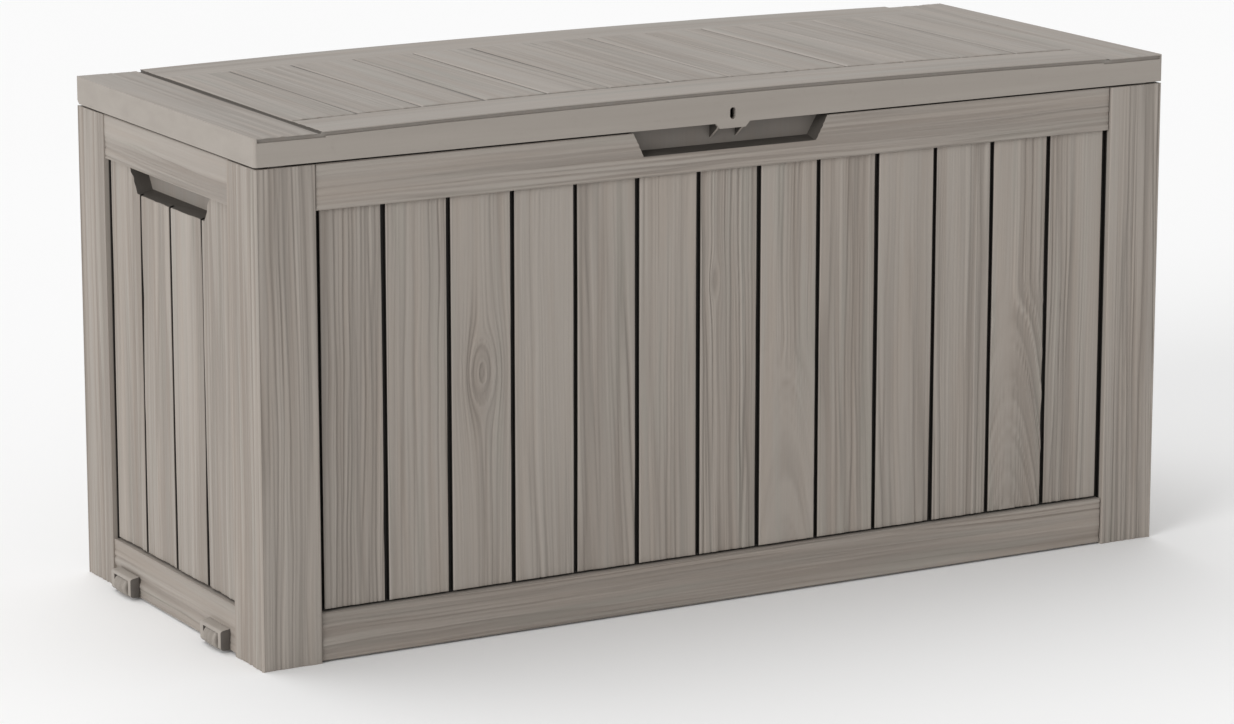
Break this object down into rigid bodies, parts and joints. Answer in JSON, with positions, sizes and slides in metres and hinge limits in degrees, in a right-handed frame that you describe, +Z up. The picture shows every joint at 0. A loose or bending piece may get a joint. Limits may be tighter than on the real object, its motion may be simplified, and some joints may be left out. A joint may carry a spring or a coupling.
{
  "type": "deck storage box",
  "caption": "Resin deck storage box with board-look walls, a hinged lid on gas struts, carrying recesses, a padlock slot and tilt wheels at one end.",
  "frame": {"origin": "middle of the base, on the ground: halfway along the walls' length and depth", "axes": "+X along the length away from the wheels, -Y towards the front with the lock, +Z up"},
  "size_m": [1.2531, 0.511, 0.626],
  "materials": {
    "taupe_resin": "matte moulded polypropylene with an embossed wood grain",
    "lid_resin": "matte moulded polypropylene with an embossed wood grain",
    "floor_resin": "matte moulded polypropylene, fine texture",
    "wheel_resin": "matte moulded resin",
    "coated_steel": "powder-coated steel, satin",
    "bright_steel": "zinc-plated steel",
    "strut_black": "black paint, semi-gloss"
  },
  "bodies": {
    "box": {"floor_panel": "floor_resin", "front_panel": "taupe_resin", "back_panel": "taupe_resin", "end_panel_left": "taupe_resin", "end_panel_right": "taupe_resin", "hinge_box_leaf_left": "coated_steel", "hinge_box_leaf_middle": "coated_steel", "hinge_box_leaf_right": "coated_steel", "hinge_pin_left": "bright_steel", "hinge_pin_middle": "bright_steel", "hinge_pin_right": "bright_steel", "strut_foot_bracket_left": "coated_steel", "strut_foot_bracket_right": "coated_steel", "wheel_housing_front": "taupe_resin", "wheel_housing_rear": "taupe_resin", "wheel_axle_front": "bright_steel", "wheel_axle_rear": "bright_steel", "panel_screws": "bright_steel", "floor_screws": "bright_steel", "hinge_box_screws": "bright_steel", "strut_foot_screws": "bright_steel"},
    "lid": {"lid_shell": "lid_resin", "hinge_lid_leaf_left": "coated_steel", "hinge_lid_leaf_middle": "coated_steel", "hinge_lid_leaf_right": "coated_steel", "strut_head_bracket_left": "coated_steel", "strut_head_bracket_right": "coated_steel", "hinge_lid_screws": "bright_steel", "strut_head_screws": "bright_steel"},
    "strut_tube_left": {"strut_tube_left": "strut_black"},
    "strut_rod_left": {"strut_rod_left": "bright_steel"},
    "strut_tube_right": {"strut_tube_right": "strut_black"},
    "strut_rod_right": {"strut_rod_right": "bright_steel"},
    "wheel_front": {"wheel_front": "wheel_resin"},
    "wheel_rear": {"wheel_rear": "wheel_resin"}
  },
  "joints": [
    {"name": "lid_hinge", "type": "hinge", "parent": "box", "child": "lid", "pos_m": [0, 0.253, 0.5848], "axis": [-1, 0, 0], "range_deg": [0, 85]},
    {"name": "strut_foot_left", "type": "hinge", "parent": "box", "child": "strut_tube_left", "pos_m": [-0.58, 0.18849, 0.41676], "axis": [-1, 0, 0], "range_deg": [0, 42.5]},
    {"name": "strut_head_left", "type": "hinge", "parent": "lid", "child": "strut_rod_left", "pos_m": [-0.58, 0.073, 0.5848], "axis": [-1, 0, 0], "range_deg": [-42.5, 0]},
    {"name": "strut_foot_right", "type": "hinge", "parent": "box", "child": "strut_tube_right", "pos_m": [0.58, 0.18849, 0.41676], "axis": [-1, 0, 0], "range_deg": [0, 42.5]},
    {"name": "strut_head_right", "type": "hinge", "parent": "lid", "child": "strut_rod_right", "pos_m": [0.58, 0.073, 0.5848], "axis": [-1, 0, 0], "range_deg": [-42.5, 0]},
    {"name": "wheel_spin_front", "type": "hinge", "parent": "box", "child": "wheel_front", "pos_m": [-0.6211, -0.13, 0.0128], "axis": [0, 1, 0], "continuous": true},
    {"name": "wheel_spin_rear", "type": "hinge", "parent": "box", "child": "wheel_rear", "pos_m": [-0.6211, 0.13, 0.0128], "axis": [0, 1, 0], "continuous": true}
  ],
  "couplings": [
    {"joint": "strut_foot_left", "follows": "lid_hinge", "ratio": 0.5},
    {"joint": "strut_head_left", "follows": "lid_hinge", "ratio": -0.5},
    {"joint": "strut_foot_right", "follows": "lid_hinge", "ratio": 0.5},
    {"joint": "strut_head_right", "follows": "lid_hinge", "ratio": -0.5}
  ]
}
